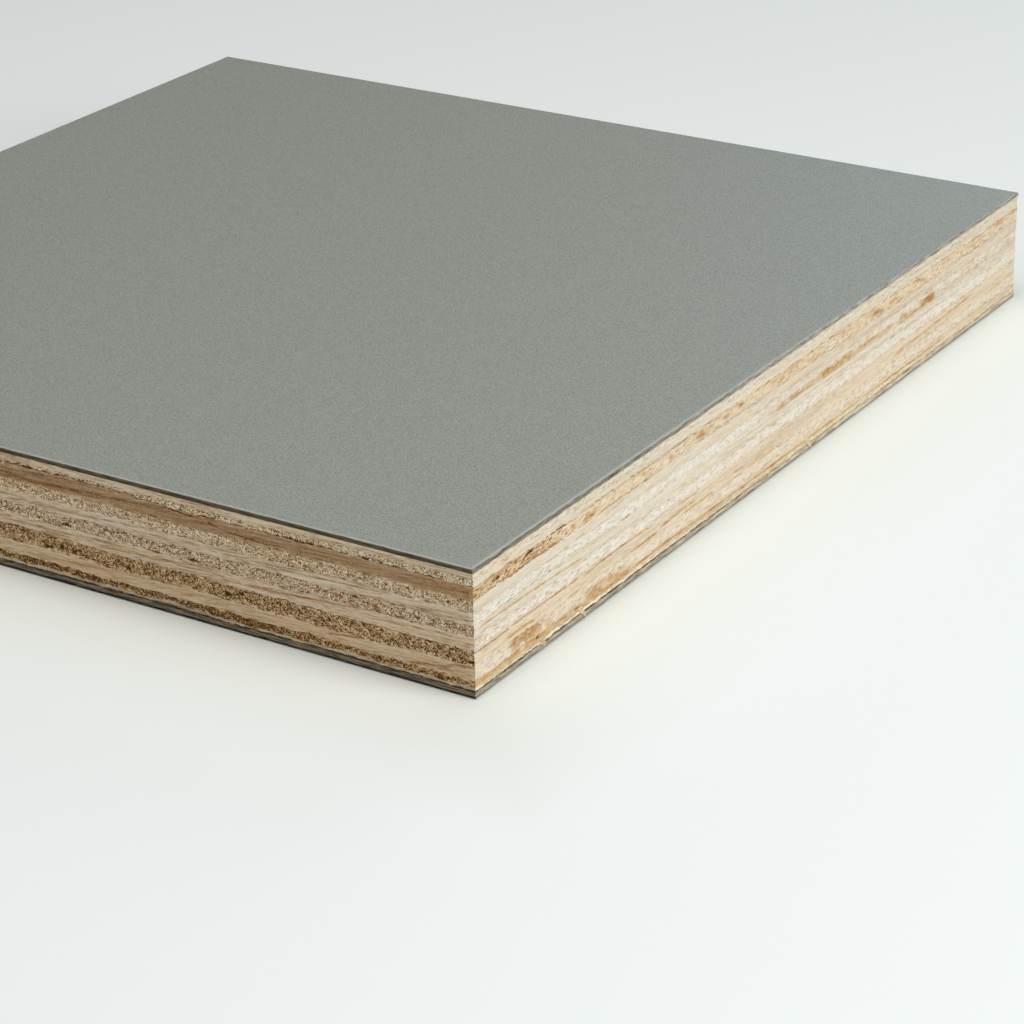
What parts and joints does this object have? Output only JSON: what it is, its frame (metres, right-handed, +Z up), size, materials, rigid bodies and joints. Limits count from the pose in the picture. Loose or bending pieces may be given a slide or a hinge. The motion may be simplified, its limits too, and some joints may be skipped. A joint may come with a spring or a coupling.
{
  "type": "laminated plywood sheet",
  "caption": "Flat plywood sheet of cross-banded veneers with a hard grey laminate on both faces and sawn square edges, stock for panels, shelves and furniture.",
  "frame": {"origin": "middle of the underside, on the surface that the sheet lies on", "axes": "+Z up through the thickness, +X along the grain of the face veneer, +Y across it"},
  "size_m": [0.178, 0.181, 0.0201],
  "materials": {
    "laminate": "matte",
    "pale_veneer": "matte",
    "red_brown_veneer": "matte",
    "tan_veneer": "matte"
  },
  "bodies": {
    "root": {"bottom_laminate": "laminate", "back_veneer": "pale_veneer", "veneer_10": "tan_veneer", "veneer_9": "pale_veneer", "veneer_8": "tan_veneer", "veneer_7": "pale_veneer", "veneer_6": "pale_veneer", "veneer_5": "pale_veneer", "veneer_4": "pale_veneer", "veneer_3": "red_brown_veneer", "veneer_2": "pale_veneer", "face_veneer": "pale_veneer", "top_laminate": "laminate"}
  },
  "joints": []
}
